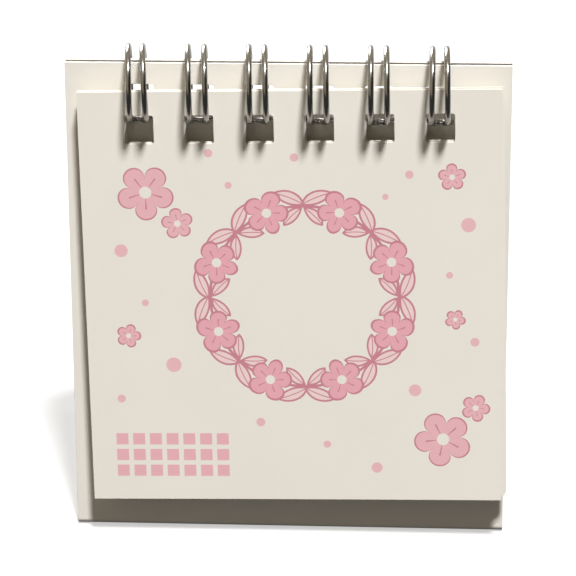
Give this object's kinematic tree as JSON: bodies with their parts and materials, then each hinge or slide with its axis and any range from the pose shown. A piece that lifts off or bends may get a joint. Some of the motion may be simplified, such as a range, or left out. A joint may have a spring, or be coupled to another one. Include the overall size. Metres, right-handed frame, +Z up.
{
  "type": "desk calendar",
  "caption": "Mini standing desk calendar: a folded white card easel with paper leaves on a twin-loop wire binding.",
  "frame": {"origin": "on the table, under the middle of the calendar's bounding box", "axes": "+Z up, -Y towards the reader, out of the front panel with the leaves, +X to the reader's right along the folds"},
  "size_m": [0.063, 0.039, 0.0717],
  "materials": {
    "easel_card": "smooth matt coated white card",
    "binding_wire": "bright silver plated wire",
    "leaf_paper": "uncoated white paper, smooth",
    "cover_paper": "heavier white paper with a pale rose print"
  },
  "bodies": {
    "stand_body": {"easel_stand": "easel_card", "binding_wire": "binding_wire", "month_leaves": "leaf_paper"},
    "cover_body": {"cover_leaf": "cover_paper"}
  },
  "joints": [
    {"name": "cover_turn", "type": "hinge", "parent": "stand_body", "child": "cover_body", "pos_m": [0, -0.0022, 0.06607], "axis": [-1, 0, 0], "range_deg": [0, 190]}
  ]
}
